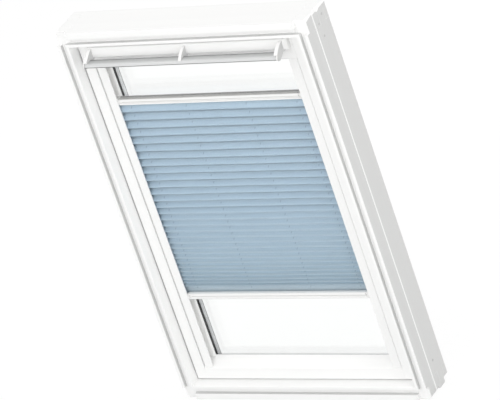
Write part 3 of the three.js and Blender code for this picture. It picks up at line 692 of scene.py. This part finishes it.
def softened(node_name, width, finish, rounds=2, smooth_angle=usual_angle):
    node = frame["nodes"][node_name]
    piece = bpy.data.objects.new(node_name + "_finished", node.data.copy())
    scene.collection.objects.link(piece)
    pick(piece)
    bpy.ops.object.mode_set(mode="EDIT")
    bpy.ops.mesh.select_all(action="SELECT")
    bpy.ops.mesh.customdata_custom_splitnormals_clear()
    bpy.ops.mesh.remove_doubles(threshold=weld_distance)
    bpy.ops.mesh.dissolve_limited(angle_limit=flat_angle)
    bpy.ops.mesh.normals_make_consistent(inside=False)
    bpy.ops.object.mode_set(mode="OBJECT")
    bevel = piece.modifiers.new("soft_edges", "BEVEL")
    bevel.width = width
    bevel.segments = rounds
    bevel.limit_method = "ANGLE"
    bevel.angle_limit = edge_angle
    bpy.ops.object.modifier_apply(modifier=bevel.name)
    bpy.ops.object.shade_smooth_by_angle(angle=math.radians(smooth_angle))
    flat = piece.modifiers.new("flat_faces", "WEIGHTED_NORMAL")
    flat.keep_sharp = True
    bpy.ops.object.modifier_apply(modifier=flat.name)
    piece.data.materials.clear()
    piece.data.materials.append(finish)
    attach(piece, node["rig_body"])
    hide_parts(node_name)
    return piece


print("edges over", round(math.degrees(edge_angle)), "degrees get a bevel")

# %% [markdown]
# ## Painted timber
# The frame's solids carry two finishes. Faces that belong to an outer side or to a
# wall of the lining groove are found by where they lie and which way they look, and
# get the grey as their second material: plain grey on the outer sides, painted shade
# on the walls of the groove.

# %% Painted timber: the frame and the sash
timber_bevel = 0.0009
room_face = -0.059
outer_side_x, outer_step_x = 0.390, 0.388
groove_depths = (0.001, 0.0116)
groove_walls_x = (0.3628, 0.3784)
groove_walls_z = (0.0198, 0.0354, 1.1426, 1.1582)
near_wall = 0.0006
facing = 0.9


def beside_any(place, walls):
    return any(abs(abs(place) - wall) < near_wall for wall in walls)


# Outer sides get a light grey; the walls of the lining groove get the same grey as painted shade.
def grey_sides_and_shade_grooves(piece, side_and_groove_grey):
    piece.data.materials.append(side_and_groove_grey)
    greyed = 0
    for face in piece.data.polygons:
        place, normal = face.center, face.normal
        sideways, level = abs(normal.x) > facing, abs(normal.z) > facing
        on_outer_side = sideways and abs(place.x) > outer_step_x - near_wall
        in_groove = groove_depths[0] < place.y - room_face < groove_depths[1]
        on_upright_wall = sideways and beside_any(place.x, groove_walls_x)
        on_level_wall = level and beside_any(place.z, groove_walls_z)
        if on_outer_side or (in_groove and (on_upright_wall or on_level_wall)):
            face.material_index = 1
            greyed += 1
    return greyed


for side in ("left", "right"):
    piece = softened("frame_side_" + side, timber_bevel, paint_upright)
    print(piece.name, "primed faces:", grey_sides_and_shade_grooves(piece, side_grey_and_groove_shade_upright))
    softened("sash_side_" + side, timber_bevel, paint_upright)
for end in ("head", "sill"):
    piece = softened("frame_" + end, timber_bevel, paint_level)
    print(piece.name, "primed faces:", grey_sides_and_shade_grooves(piece, side_grey_and_groove_shade_level))
    softened("sash_" + end, timber_bevel, paint_level)

# %% [markdown]
# ## Fine lines on the blind's rails
# Each rail is a drawn profile with a lip, a groove and a thin top edge, which are
# too fine to show by shape alone from across the room. Shade gathers in them, so the
# coat of the two rails is darker along those levels, and along the back of the top
# rail, which lies in shade close to the glass.

# %% A coat with fine lines
rail_line_tone = (0.50, 0.50, 0.49)
back_tone = (0.46, 0.46, 0.46)
rail_line_half, rail_line_fade = 0.0009, 0.0014
back_fade = 0.0002


def lined_coat(name, lines, back_from=None):
    material, shader = coat_finish(name)
    place = material.node_tree.nodes.new("ShaderNodeTexCoord")
    parts = material.node_tree.nodes.new("ShaderNodeSeparateXYZ")
    material.node_tree.links.new(place.outputs["Object"], parts.inputs[0])
    colour = shader.inputs["Base Color"].links[0].from_socket
    for level in lines:
        away = math_in(material, "ABSOLUTE", math_in(material, "SUBTRACT", parts.outputs[2], level))
        line = map_range(material, away, 1.0, 0.0, rail_line_half, rail_line_fade)
        colour = blend_colours(material, line, colour, rail_line_tone)
    if back_from is not None:
        behind = map_range(material, parts.outputs[1], 0.0, 1.0, back_from, back_from + back_fade)
        colour = blend_colours(material, behind, colour, back_tone)
    material.node_tree.links.new(colour, shader.inputs["Base Color"])
    return material


top_rail_coat = lined_coat("top_rail_coat", (0.9508, 0.9405), back_from=-0.0105)
bottom_rail_coat = lined_coat("bottom_rail_coat", (0.3193, 0.3109))
print("rail coats:", top_rail_coat.name, bottom_rail_coat.name)

# %% White metal: side rails, blind rails and the flap
rail_bevel, thin_bevel = 0.0004, 0.0003
for name in ("blind_side_rail_left", "blind_side_rail_right"):
    softened(name, rail_bevel, white_coat)
softened("blind_top_rail", thin_bevel, top_rail_coat)
softened("blind_bottom_rail", thin_bevel, bottom_rail_coat)
softened("ventilation_flap", rail_bevel, white_coat, smooth_angle=curved_angle)
print("white metal pieces:", 5)

# %% White mouldings: sliders and flap ends
slider_bevel, moulding_bevel = 0.0004, 0.0006
for side in ("left", "right"):
    softened("blind_top_slider_" + side, slider_bevel, white_moulding)
    softened("blind_bottom_slider_" + side, slider_bevel, white_moulding)
    softened("flap_end_" + side, moulding_bevel, white_moulding, smooth_angle=curved_angle)
print("sliders and flap ends:", 6)

# %% [markdown]
# ## Brackets of the bar
# The bar hangs on three curved brackets. The middle one is slimmer than the two at
# the ends, so its copy is narrowed about the middle of the window, where x is zero.

# %% White mouldings: the brackets of the bar
middle_bracket_slimness = 0.76
bracket_rounds = 3


# Faces of a bracket that look sideways get painted shade: a grey moulding colour.
def shade_bracket_flanks(piece):
    piece.data.materials.append(flank_shade_moulding)
    for face in piece.data.polygons:
        if abs(face.normal.x) > facing:
            face.material_index = 1


for place in ("left", "middle", "right"):
    name = "bar_bracket_" + place
    bracket = softened(name, moulding_bevel, white_moulding, bracket_rounds, curved_angle)
    shade_bracket_flanks(bracket)
    if place == "middle":
        pick(bracket)
        bpy.ops.object.mode_set(mode="EDIT")
        bpy.ops.mesh.select_all(action="SELECT")
        bpy.ops.transform.resize(value=(middle_bracket_slimness, 1.0, 1.0))
        bpy.ops.object.mode_set(mode="OBJECT")
print("brackets:", 3)

# %% Metal, rubber and covers
pin_bevel, fine_bevel, rubber_bevel = 0.0004, 0.0002, 0.0008
softened("control_bar", thin_bevel, bar_finish, smooth_angle=curved_angle)
for side in ("left", "right"):
    softened("pivot_plate_" + side, thin_bevel, steel_finish)
    softened("pivot_pin_" + side, pin_bevel, steel_finish)
    softened("flap_lug_" + side, thin_bevel, steel_finish)
    softened("flap_hinge_pin_" + side, fine_bevel, steel_finish)
for place in ("left", "right", "head", "sill"):
    softened("gasket_" + place, rubber_bevel, rubber_finish)
    softened("glazing_cover_" + place, rail_bevel, cover_finish)
print("metal, rubber and cover pieces:", 17)

# %% [markdown]
# ## Shade in the gap
# A narrow gap runs round the sash. A dark grey strip in it is painted shade: it
# keeps the gap a dark line between two white edges. Each strip is slim, with
# rounded edges, and sits on the side of the sash, just behind its front edge.

# %% Strips of painted shade beside the sash
# A dark strip that is painted shade in the gap round the sash.
gap_shade_finish, _ = finish_from(
    "gap_painted_shade_strip",
    surface_film,
    {"Fine Scale": 1500.0, "Patch Scale": 30.0},
    colours=((0.10, 0.10, 0.104), (0.15, 0.15, 0.155)),
    rough=(0.6, 0.75),
    bump=(0.3, 0.0003),
)
sash_edge_x = 0.346
gap_strip_front = room_face + 0.0299
gap_strip_back = gap_strip_front + 0.020
gap_strip_wall = 0.0008
gap_strip_low, gap_strip_high = 0.075, 1.105
gap_strip_rounding = 0.3


def slim_strip(name, low, high, body):
    size = [high[i] - low[i] for i in range(3)]
    middle = [(high[i] + low[i]) / 2 for i in range(3)]
    bpy.ops.object.select_all(action="DESELECT")
    bpy.ops.mesh.primitive_cube_add(size=1.0)
    strip = bpy.context.object
    strip.name = name
    bpy.ops.object.mode_set(mode="EDIT")
    bpy.ops.mesh.select_all(action="SELECT")
    bpy.ops.transform.resize(value=size)
    bpy.ops.transform.translate(value=middle)
    bpy.ops.mesh.bevel(offset=min(size) * gap_strip_rounding, segments=2)
    bpy.ops.object.mode_set(mode="OBJECT")
    strip.data.materials.append(gap_shade_finish)
    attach(strip, body)
    return strip


for side, sign in (("left", -1.0), ("right", 1.0)):
    near, far = sorted((sign * sash_edge_x, sign * (sash_edge_x + gap_strip_wall)))
    low, high = (near, gap_strip_front, gap_strip_low), (far, gap_strip_back, gap_strip_high)
    shade_strip = slim_strip("gap_shade_strip_" + side, low, high, "sash")
print("shade_strips beside the sash:", 2)

# %% [markdown]
# ## Plugs in the outer sides
# The screws that hold the frame to the roof are hidden under small round plugs,
# flush but for a hair, so that only their rims show. Each is given by its place on
# the side, in y and z, and both sides have the same.

# %% Press in the plugs
plug_radius = 0.0034
plug_height = 0.0007
plug_sides = 24
plug_rim = 0.3 * plug_height
plug_finish, _ = finish_from(
    "grey_plug_moulding",
    surface_film,
    {"Fine Scale": 2000.0, "Patch Scale": 60.0},
    colours=((0.50, 0.50, 0.495), (0.58, 0.58, 0.575)),
    rough=(0.45, 0.55),
    bump=(0.1, 0.0002),
)
plug_places = ((0.0291, 1.1525), (0.0027, 1.1361), (0.0105, 1.0974), (0.0102, 0.0870))


def round_plug(name, place):
    bpy.ops.object.select_all(action="DESELECT")
    bpy.ops.mesh.primitive_cylinder_add(vertices=plug_sides, radius=plug_radius, depth=2 * plug_height)
    plug = bpy.context.object
    plug.name = name
    bpy.ops.object.mode_set(mode="EDIT")
    bpy.ops.mesh.select_all(action="SELECT")
    bpy.ops.mesh.bevel(offset=plug_rim, segments=2)
    bpy.ops.mesh.select_all(action="SELECT")
    bpy.ops.transform.rotate(value=math.pi / 2, orient_axis="Y", center_override=(0.0, 0.0, 0.0))
    bpy.ops.transform.translate(value=place)
    bpy.ops.object.mode_set(mode="OBJECT")
    bpy.ops.object.shade_smooth_by_angle(angle=math.radians(usual_angle))
    plug.data.materials.append(plug_finish)
    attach(plug, "frame")
    return plug


for side, sign in (("left", -1.0), ("right", 1.0)):
    for number, (y, z) in enumerate(plug_places, start=1):
        round_plug("side_plug_%s_%d" % (side, number), (sign * outer_side_x, y, z))
print("plugs:", 2 * len(plug_places))

# %% [markdown]
# ## Panes, spacer and filter
# These four solids already have the right shape, because a pane's edge is sharp and
# the other two are hidden deep in the sash. They only get their finishes.

# %% Finish the solids that stay
kept_finishes = {
    "glass_inner": glass_finish,
    "glass_outer": glass_finish,
    "glass_spacer": spacer_finish,
    "air_filter": foam_finish,
}
for node_name, finish in kept_finishes.items():
    node = frame["nodes"][node_name]
    node.data.materials.clear()
    node.data.materials.append(finish)
print("kept solids:", sorted(kept_finishes))

# %% [markdown]
# ## The cloth
# The blind is one long sheet, pressed into sharp pleats. The pleats hang open at the
# top and close up towards the bottom, because each one carries those below it.
# Pressed cloth keeps its folds, so the sheet isn't simulated: it is built row by row
# along its folded line, with close rows beside each fold to keep it crisp. The flat
# parts bow a little, and the whole sheet wavers by a fraction of a millimetre. It is
# held at a pleat in the middle, so it is made in two pieces that meet there.

# %% The blind's folded line, in millimetres
mm = 0.001
ridge_depth = 36.0
seat_depth = 46.75
fold_length = 19.2
first_ridge = 909.7
first_pitch, pitch_loss, pitch_loss_growth = 25.2, 0.224, 0.01049
upper_folds, all_folds = 14, 30
top_hem = (937.7, 923.7)
bottom_hem = (337.3, 323.9)


def folded_line():
    ridge = first_ridge
    corners = []
    for fold in range(all_folds):
        pitch = first_pitch - pitch_loss * fold - pitch_loss_growth * fold * fold
        corners.append((ridge_depth, ridge))
        corners.append((ridge_depth + math.sqrt(fold_length**2 - (pitch / 2) ** 2), ridge - pitch / 2))
        ridge -= pitch
    return corners


corners = folded_line()
top_rows = [(seat_depth, level) for level in top_hem]
bottom_rows = [(seat_depth, level) for level in bottom_hem]
upper_corners = top_rows + corners[: 2 * upper_folds]
lower_corners = corners[2 * upper_folds - 1 :] + bottom_rows

# %% Rows of the sheet: depth, level and place in the map
steps_along = (0.05, 0.28, 0.5, 0.72, 0.95)
flat_bow = 0.35


def pleated_rows(line, map_start):
    rows = []
    passed = map_start
    for (depth_a, level_a), (depth_b, level_b) in zip(line, line[1:]):
        run = math.hypot(depth_b - depth_a, level_b - level_a)
        out_depth = -(level_a - level_b) / run
        out_level = (depth_a - depth_b) / run
        for share in steps_along:
            bow = flat_bow * math.sin(math.pi * share)
            rows.append(
                (
                    depth_a + (depth_b - depth_a) * share + out_depth * bow,
                    level_a + (level_b - level_a) * share + out_level * bow,
                    passed + run * mm * share,
                )
            )
        passed += run * mm
    return [(*line[0], map_start)] + rows + [(*line[-1], passed)]


print("rows to each flat part:", len(steps_along))

# %% Columns of the sheet, and how it wavers
cloth_half_width = 0.2998
cloth_columns = 150
waver = 0.28
waver_waves = ((1.0, 9.0, 0.031, 0.0), (0.6, 23.0, -0.057, 1.3), (0.35, 61.0, 0.21, 0.0))
waver_depth_share = 0.3


def cloth_waver(x, level):
    total = 0.0
    for strength, along_x, along_level, start in waver_waves:
        total += strength * math.sin(x * along_x + level * along_level + start)
    return waver * total * mm


def column_x(column):
    return -cloth_half_width + 2 * cloth_half_width * column / cloth_columns


print("cloth width:", 2 * cloth_half_width, "m, in", cloth_columns, "columns")

# %% Build a pleated sheet
cloth_thickness = 0.00045
quad_steps = ((0, 0), (1, 0), (1, 1), (0, 1))


def pleated_sheet(name, line, map_start):
    rows = pleated_rows(line, map_start)
    length = sum(math.dist(above[:2], below[:2]) for above, below in zip(rows, rows[1:])) * mm
    mesh = bpy.data.meshes.new(name)
    build = bmesh.new()
    uv_layer = build.loops.layers.uv.new("weave")
    last_row = len(rows) - 1
    grid = []
    for index, (depth, level, _) in enumerate(rows):
        rows_from_end = min(index, last_row - index)
        free = min(1.0, rows_from_end / (2.0 * len(steps_along)))
        line_points = []
        for column in range(cloth_columns + 1):
            x = column_x(column)
            shift = cloth_waver(x, level) * free
            place = (x, room_face + depth * mm + shift * waver_depth_share, level * mm + shift)
            line_points.append(build.verts.new(place))
        grid.append(line_points)
    for row in range(last_row):
        for column in range(cloth_columns):
            face = build.faces.new([grid[row + down][column + across] for down, across in quad_steps])
            face.smooth = True
            for loop, (down, across) in zip(face.loops, quad_steps):
                loop[uv_layer].uv = (column_x(column + across), rows[row + down][2])
    build.to_mesh(mesh)
    build.free()
    piece = bpy.data.objects.new(name, mesh)
    scene.collection.objects.link(piece)
    pick(piece)
    wall = piece.modifiers.new("cloth_thickness", "SOLIDIFY")
    wall.thickness = cloth_thickness
    wall.offset = 0.0
    bpy.ops.object.modifier_apply(modifier=wall.name)
    print(name, "flat length:", round(length, 4), "m, faces:", len(mesh.polygons))
    return piece, length


# %% Fold both parts of the blind
hem_to_ridge = sum(math.dist(upper_corners[i], upper_corners[i + 1]) for i in range(2)) * mm
ridge_to_seam = (2 * upper_folds - 1) * fold_length * mm
cloth_upper, upper_length = pleated_sheet("blind_cloth_upper", upper_corners, -hem_to_ridge)
cloth_lower, lower_length = pleated_sheet("blind_cloth_lower", lower_corners, ridge_to_seam)

# %% [markdown]
# ## The cloth's finish
# It is a plain weave in a light blue yarn with a slight sheen, and daylight shines
# through it, so half of the shader is a translucent one. The weave follows the
# sheet's own map, one unit to a metre. The map also says where a point lies in its
# pleat, and from that the colour carries painted shade and light: the flank that
# looks down is painted darker than the one that looks up, most where the pleats hang
# open, and where they close up the darker shade narrows to the pleat's edges and the
# deep middle of each pleat is painted lighter. Each pleat is pierced for the four
# cords that run inside it, which shows as a short faint mark.

# %% Marks of the cords
cord_columns = (-0.256, -0.083, 0.104, 0.260)
cord_mark_width = 0.0016
cord_mark_core = 0.3 * cord_mark_width
cord_mark_place, cord_mark_half, cord_mark_end = 0.70, 0.05, 0.10
cord_mark_strength = 0.42


def cord_marks(material, across, fold_share):
    nearest = None
    for column in cord_columns:
        away = math_in(material, "ABSOLUTE", math_in(material, "SUBTRACT", across, column))
        nearest = away if nearest is None else math_in(material, "MINIMUM", nearest, away)
    near_cord = map_range(material, nearest, 1.0, 0.0, cord_mark_core, cord_mark_width)
    from_mark = math_in(material, "SUBTRACT", fold_share, cord_mark_place)
    off_mark = math_in(material, "ABSOLUTE", from_mark)
    on_mark = map_range(material, off_mark, 1.0, 0.0, cord_mark_half, cord_mark_end)
    mark = math_in(material, "MULTIPLY", near_cord, on_mark)
    return math_in(material, "MULTIPLY", mark, cord_mark_strength)


print("cords in the cloth:", len(cord_columns))

# %% Shade of the folds
# Painted shade and light: open pleats get a darker flank that looks down, closed pleats a lighter deep
# middle.
open_stops = ((0.0, 0.46), (0.03, 0.40), (0.47, 0.36), (0.56, 0.45), (0.75, 0.50), (1.0, 0.49))
closed_stops = ((0.0, 0.445), (0.04, 0.445), (0.5, 0.575), (0.70, 0.56), (0.86, 0.50), (1.0, 0.445))
closed_tint = (1.0, 0.975, 0.95)
folds_open_until, folds_closed_from = 12.0, 25.0
hem_start, hem_end = 29.4, 29.5
fold_gain, hem_gain = 2.0, 1.74


def fold_shade(material, folds_down, fold_share):
    closing = map_range(material, folds_down, 0.0, 1.0, folds_open_until, folds_closed_from)
    open_tone = tone_ramp(material, fold_share, open_stops)
    closed_tone = tone_ramp(material, fold_share, closed_stops, closed_tint)
    shade = blend_colours(material, closing, open_tone, closed_tone)
    gain = material.node_tree.nodes.new("ShaderNodeVectorMath")
    gain.operation = "SCALE"
    strength = map_range(material, folds_down, fold_gain, hem_gain, hem_start, hem_end)
    material.node_tree.links.new(shade, gain.inputs[0])
    material.node_tree.links.new(strength, gain.inputs["Scale"])
    return gain.outputs["Vector"]


print("pleats open until", folds_open_until, "and closed from", folds_closed_from)

# %% Weave the cloth
light_through = 0.5
yarn_colours = ((0.400, 0.505, 0.605), (0.470, 0.580, 0.680))
lit_colours = ((0.84, 0.93, 0.98), (0.88, 0.96, 1.0))
mark_tone = (0.20, 0.26, 0.32)
thread_scale, thread_distortion, thread_detail = 420.0, 1.2, 2.0
yarn_film = {"Fine Scale": 260.0, "Patch Scale": 18.0}
cloth_roughness = (0.82, 0.95)
weave_relief = (0.25, 0.0002)
sheen, sheen_roughness, cloth_specular = 0.12, 0.5, 0.2


def woven_threads(material, weave_map):
    threads = []
    for direction in ("X", "Y"):
        wave = material.node_tree.nodes.new("ShaderNodeTexWave")
        wave.bands_direction = direction
        wave.inputs["Scale"].default_value = thread_scale
        wave.inputs["Distortion"].default_value = thread_distortion
        wave.inputs["Detail"].default_value = thread_detail
        material.node_tree.links.new(weave_map, wave.inputs["Vector"])
        threads.append(wave.outputs["Fac"])
    return math_in(material, "MULTIPLY", *threads)


def cloth_finish():
    material = bpy.data.materials.new("light_blue_pleated_cloth")
    material.use_nodes = True
    nodes = material.node_tree.nodes
    links = material.node_tree.links
    shader = nodes["Principled BSDF"]
    through = nodes.new("ShaderNodeBsdfTranslucent")
    place = nodes.new("ShaderNodeUVMap")
    place.uv_map = "weave"
    weave = woven_threads(material, place.outputs["UV"])
    film = place_group(material, surface_film, yarn_film)
    links.new(place.outputs["UV"], film.inputs["Vector"])
    tone = map_range(material, film.outputs["Height"], 0.0, 1.0)

    parts = nodes.new("ShaderNodeSeparateXYZ")
    links.new(place.outputs["UV"], parts.inputs[0])
    folds_down = math_in(material, "DIVIDE", parts.outputs[1], 2 * fold_length * mm)
    fold_share = math_in(material, "FRACT", folds_down)
    shade = fold_shade(material, folds_down, fold_share)
    marks = cord_marks(material, parts.outputs[0], fold_share)
    for target, colours in (
        (shader.inputs["Base Color"], yarn_colours),
        (through.inputs["Color"], lit_colours),
    ):
        yarn = multiplied(material, blend_colours(material, tone, *colours), shade)
        links.new(blend_colours(material, marks, yarn, mark_tone), target)
    links.new(map_range(material, film.outputs["Patches"], *cloth_roughness), shader.inputs["Roughness"])
    links.new(relief(material, weave, *weave_relief), shader.inputs["Normal"])
    shader.inputs["Sheen Weight"].default_value = sheen
    shader.inputs["Sheen Roughness"].default_value = sheen_roughness
    shader.inputs["Specular IOR Level"].default_value = cloth_specular
    both = nodes.new("ShaderNodeMixShader")
    both.inputs[0].default_value = light_through
    links.new(shader.outputs[0], both.inputs[1])
    links.new(through.outputs[0], both.inputs[2])
    links.new(both.outputs[0], nodes["Material Output"].inputs["Surface"])
    return material


cloth_material = cloth_finish()
print("cloth finish:", cloth_material.name)

# %% [markdown]
# ## Hanging the cloth
# Each part gets the cloth's finish and stays where it was built, and its solid is
# hidden so that the part stands for it.

# %% Hang the cloth between its rails
upper_cloth_end, lower_cloth_end = 0.926, 0.335
for piece, length, rail, node_name, rail_end in (
    (cloth_upper, upper_length, "blind_top_rail", "cloth_upper", upper_cloth_end),
    (cloth_lower, lower_length, "blind_bottom_rail", "cloth_lower", lower_cloth_end),
):
    piece.data.materials.append(cloth_material)
    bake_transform(piece)
    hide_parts(node_name)
    print(piece.name, "hangs from", rail)
